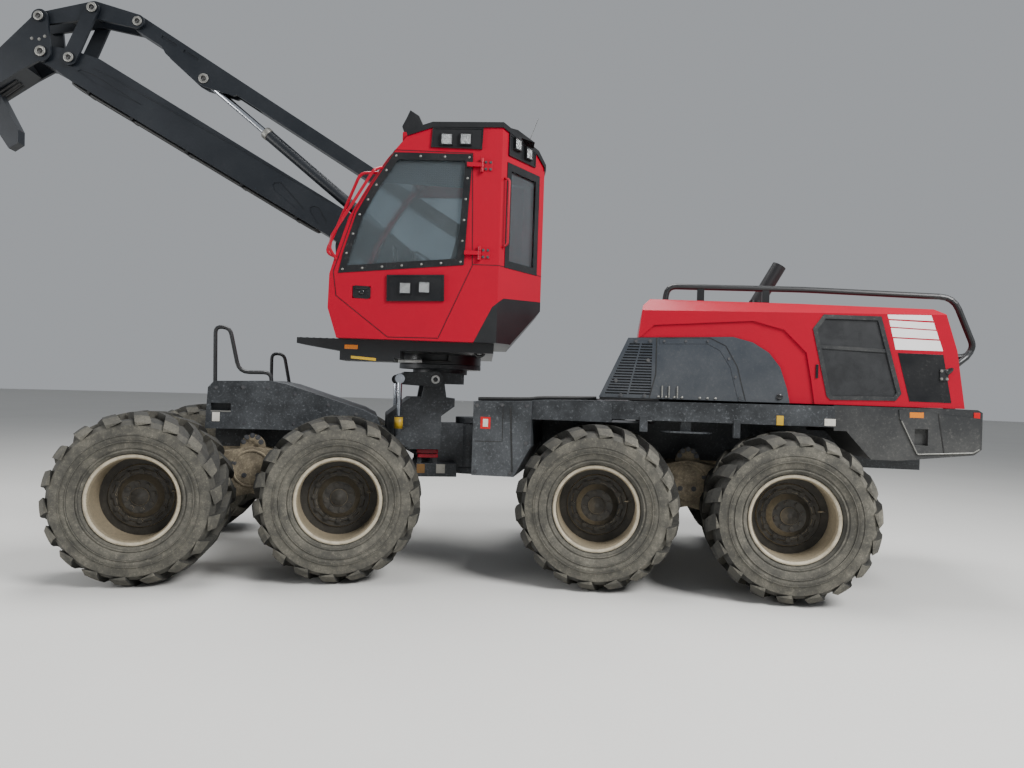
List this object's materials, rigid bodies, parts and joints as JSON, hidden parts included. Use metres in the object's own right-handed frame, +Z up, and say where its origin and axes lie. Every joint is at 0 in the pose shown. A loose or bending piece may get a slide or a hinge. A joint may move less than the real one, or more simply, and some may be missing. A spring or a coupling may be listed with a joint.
{
  "type": "forestry harvester",
  "caption": "Articulated forestry harvester on bogie wheels, with a cab and a parallel crane on a levelled slewing platform and a felling head.",
  "frame": {"origin": "middle of the bounding box at ground level", "axes": "+X from the crane tip towards the engine, +Y away from the cab side, +Z up"},
  "size_m": [12.0031, 4.7382, 5.7795],
  "materials": {
    "tyre": "dusty",
    "dusty_paint": "dusty",
    "red_paint": "gloss",
    "crane_paint": "satin",
    "black_paint": "satin",
    "grey_paint": "satin",
    "chrome_rod": "polished",
    "worn_steel": "worn",
    "glass": "tinted",
    "seat": "woven"
  },
  "bodies": {
    "front_chassis": {"front_frame": "black_paint", "front_axle": "dusty_paint", "front_bodywork": "black_paint", "front_rails": "black_paint"},
    "rear_chassis": {"rear_frame": "black_paint", "rear_axle": "dusty_paint", "side_boxes": "black_paint", "engine": "grey_paint", "rear_bumper": "black_paint"},
    "hood": {"hood_shell": "red_paint", "hood_panels": "grey_paint", "hood_screens": "black_paint", "hood_rail": "black_paint", "exhaust": "black_paint"},
    "levelling": {"levelling_frame": "black_paint"},
    "level_cylinders": {"level_barrel": "black_paint"},
    "level_rods": {"level_rod": "chrome_rod"},
    "platform": {"slew_deck": "black_paint", "crane_pillar": "crane_paint", "cab_shell": "red_paint", "cab_roof": "black_paint", "cab_windows": "glass", "cab_seat": "seat", "cab_guard": "red_paint"},
    "door": {"cab_door": "red_paint", "door_window": "glass"},
    "boom": {"boom": "crane_paint"},
    "lift_cylinder": {"lift_barrel": "crane_paint"},
    "lift_piston": {"lift_rod": "chrome_rod"},
    "tie_lever": {"tie_lever": "crane_paint"},
    "tie_rod": {"tie_rod": "crane_paint"},
    "rocker": {"rocker": "crane_paint"},
    "short_links": {"short_links": "crane_paint"},
    "stick_cylinder": {"stick_barrel": "crane_paint"},
    "stick_piston": {"stick_rod": "chrome_rod"},
    "stick": {"stick": "crane_paint"},
    "telescope": {"telescope": "crane_paint"},
    "rotator": {"rotator": "black_paint"},
    "head_yoke": {"head_yoke": "black_paint"},
    "head": {"head_frame": "red_paint"},
    "knife_left": {"knife_left": "worn_steel"},
    "knife_right": {"knife_right": "worn_steel"},
    "feed_roller_left": {"feed_roller_left": "worn_steel"},
    "feed_roller_right": {"feed_roller_right": "worn_steel"},
    "wheel_left_1": {"tyre_left_1": "tyre", "rim_left_1": "dusty_paint"},
    "wheel_right_1": {"tyre_right_1": "tyre", "rim_right_1": "dusty_paint"},
    "wheel_left_2": {"tyre_left_2": "tyre", "rim_left_2": "dusty_paint"},
    "wheel_right_2": {"tyre_right_2": "tyre", "rim_right_2": "dusty_paint"},
    "wheel_left_3": {"tyre_left_3": "tyre", "rim_left_3": "dusty_paint"},
    "wheel_right_3": {"tyre_right_3": "tyre", "rim_right_3": "dusty_paint"},
    "wheel_left_4": {"tyre_left_4": "tyre", "rim_left_4": "dusty_paint"},
    "wheel_right_4": {"tyre_right_4": "tyre", "rim_right_4": "dusty_paint"}
  },
  "joints": [
    {"name": "steer", "type": "hinge", "parent": "front_chassis", "child": "rear_chassis", "pos_m": [1.397, 0.219, 1.075], "axis": [0, 0, 1], "range_deg": [-20.6, 59.4]},
    {"name": "hood_open", "type": "hinge", "parent": "rear_chassis", "child": "hood", "pos_m": [5.53397, -1.23786, 1.644], "axis": [0.3322, 0.9432, 0], "range_deg": [0, 60]},
    {"name": "wheel_left_1_spin", "type": "hinge", "parent": "front_chassis", "child": "wheel_left_1", "pos_m": [-1.454, -0.906, 0.695], "axis": [0, 1, 0], "continuous": true},
    {"name": "wheel_right_1_spin", "type": "hinge", "parent": "front_chassis", "child": "wheel_right_1", "pos_m": [-1.454, 1.344, 0.695], "axis": [0, 1, 0], "continuous": true},
    {"name": "wheel_left_2_spin", "type": "hinge", "parent": "front_chassis", "child": "wheel_left_2", "pos_m": [0.132, -0.906, 0.695], "axis": [0, 1, 0], "continuous": true},
    {"name": "wheel_right_2_spin", "type": "hinge", "parent": "front_chassis", "child": "wheel_right_2", "pos_m": [0.132, 1.344, 0.695], "axis": [0, 1, 0], "continuous": true},
    {"name": "wheel_left_3_spin", "type": "hinge", "parent": "rear_chassis", "child": "wheel_left_3", "pos_m": [2.341, -1.30615, 0.695], "axis": [0.3322, 0.9432, 0], "continuous": true},
    {"name": "wheel_right_3_spin", "type": "hinge", "parent": "rear_chassis", "child": "wheel_right_3", "pos_m": [3.08836, 0.8161, 0.695], "axis": [0.3322, 0.9432, 0], "continuous": true},
    {"name": "wheel_left_4_spin", "type": "hinge", "parent": "rear_chassis", "child": "wheel_left_4", "pos_m": [3.83695, -1.83296, 0.695], "axis": [0.3322, 0.9432, 0], "continuous": true},
    {"name": "wheel_right_4_spin", "type": "hinge", "parent": "rear_chassis", "child": "wheel_right_4", "pos_m": [4.58431, 0.28929, 0.695], "axis": [0.3322, 0.9432, 0], "continuous": true},
    {"name": "level_pitch", "type": "hinge", "parent": "front_chassis", "child": "levelling", "pos_m": [0.992, 0.219, 1.745], "axis": [0, 1, 0], "range_deg": [-10, 10]},
    {"name": "level_cylinder_swing", "type": "hinge", "parent": "front_chassis", "child": "level_cylinders", "pos_m": [0.645, 0.219, 1.13], "axis": [0, 1, 0], "range_deg": [-1, 1]},
    {"name": "level_rod_travel", "type": "slide", "parent": "level_cylinders", "child": "level_rods", "axis": [0, 0, 1], "range_m": [-0.065, 0.065]},
    {"name": "slew", "type": "hinge", "parent": "levelling", "child": "platform", "pos_m": [1.077, 0.219, 1.89], "axis": [0, 0, 1], "continuous": true},
    {"name": "door_open", "type": "hinge", "parent": "platform", "child": "door", "pos_m": [1.27604, -0.99845, 2.9], "axis": [0, 0, 1], "range_deg": [0, 95]},
    {"name": "boom_lift", "type": "hinge", "parent": "platform", "child": "boom", "pos_m": [1.11828, 0.87046, 2.72], "axis": [0.1547, 0.988, 0], "range_deg": [-22, 22]},
    {"name": "lift_cylinder_swing", "type": "hinge", "parent": "platform", "child": "lift_cylinder", "pos_m": [0.75274, 0.9277, 2.215], "axis": [0.1547, 0.988, 0], "range_deg": [-19.9, 19.9]},
    {"name": "lift_piston_travel", "type": "slide", "parent": "lift_cylinder", "child": "lift_piston", "axis": [-0.6371, 0.0998, 0.7643], "range_m": [-0.241, 0.241]},
    {"name": "stick_fold", "type": "hinge", "parent": "boom", "child": "stick", "pos_m": [-3.24718, 1.55407, 5.1794], "axis": [-0.1547, -0.988, 0], "range_deg": [-35, 35]},
    {"name": "short_links_swing", "type": "hinge", "parent": "boom", "child": "short_links", "pos_m": [-2.94745, 1.50713, 5.12613], "axis": [-0.1547, -0.988, 0], "range_deg": [-19.4, 19.4]},
    {"name": "rocker_swing", "type": "hinge", "parent": "short_links", "child": "rocker", "pos_m": [-2.72179, 1.4718, 5.68453], "axis": [-0.1547, -0.988, 0], "range_deg": [-12.6, 12.6]},
    {"name": "tie_rod_swing", "type": "hinge", "parent": "rocker", "child": "tie_rod", "pos_m": [-2.26012, 1.3995, 5.58237], "axis": [-0.1547, -0.988, 0], "range_deg": [-8.2, 8.2]},
    {"name": "tie_lever_swing", "type": "hinge", "parent": "boom", "child": "tie_lever", "pos_m": [1.11828, 0.87046, 2.72], "axis": [-0.1547, -0.988, 0], "range_deg": [-18.4, 18.4]},
    {"name": "stick_cylinder_swing", "type": "hinge", "parent": "boom", "child": "stick_cylinder", "pos_m": [1.11694, 0.87067, 2.84093], "axis": [-0.1547, -0.988, 0], "range_deg": [-1.2, 1.2]},
    {"name": "stick_piston_travel", "type": "slide", "parent": "stick_cylinder", "child": "stick_piston", "axis": [-0.771, 0.1207, 0.6253], "range_m": [-0.22, 0.22]},
    {"name": "telescope_out", "type": "slide", "parent": "stick", "child": "telescope", "axis": [-0.8093, 0.1267, -0.5736], "range_m": [0, 1.4]},
    {"name": "rotator_swing", "type": "hinge", "parent": "telescope", "child": "rotator", "pos_m": [-5.4958, 1.9062, 3.65285], "axis": [0.1547, 0.988, 0], "range_deg": [-45, 45]},
    {"name": "rotator_turn", "type": "hinge", "parent": "rotator", "child": "head_yoke", "pos_m": [-5.4958, 1.9062, 3.65285], "axis": [0, 0, 1], "continuous": true},
    {"name": "head_tilt", "type": "hinge", "parent": "head_yoke", "child": "head", "pos_m": [-5.4958, 1.9062, 2.59685], "axis": [0.1547, 0.988, 0], "range_deg": [-20, 80]},
    {"name": "knife_right_open", "type": "hinge", "parent": "head", "child": "knife_right", "pos_m": [-5.85385, 2.20519, 2.51685], "axis": [0.988, -0.1547, 0], "range_deg": [0, 45]},
    {"name": "knife_left_open", "type": "hinge", "parent": "head", "child": "knife_left", "pos_m": [-5.92812, 1.73097, 2.51685], "axis": [-0.988, 0.1547, 0], "range_deg": [0, 45]},
    {"name": "feed_roller_right_spin", "type": "hinge", "parent": "head", "child": "feed_roller_right", "pos_m": [-5.26459, 2.21919, 2.32085], "axis": [0, 0, 1], "continuous": true},
    {"name": "feed_roller_left_spin", "type": "hinge", "parent": "head", "child": "feed_roller_left", "pos_m": [-5.37134, 1.5375, 2.32085], "axis": [0, 0, 1], "continuous": true}
  ],
  "couplings": [
    {"joint": "level_cylinder_swing", "follows": "level_pitch", "ratio": -0.01318},
    {"joint": "level_rod_travel", "follows": "level_pitch", "m_per_rad": 0.347},
    {"joint": "lift_cylinder_swing", "follows": "boom_lift", "ratio": 0.88292},
    {"joint": "lift_piston_travel", "follows": "boom_lift", "m_per_rad": 0.60195},
    {"joint": "short_links_swing", "follows": "stick_fold", "ratio": 0.5256},
    {"joint": "rocker_swing", "follows": "stick_fold", "ratio": -0.3324},
    {"joint": "tie_rod_swing", "follows": "stick_fold", "ratio": -0.2057},
    {"joint": "tie_lever_swing", "follows": "stick_fold", "ratio": 0.4974},
    {"joint": "stick_cylinder_swing", "follows": "stick_fold", "ratio": 0.0057},
    {"joint": "stick_piston_travel", "follows": "stick_fold", "m_per_rad": 0.3419},
    {"joint": "knife_left_open", "follows": "knife_right_open", "ratio": 1}
  ]
}
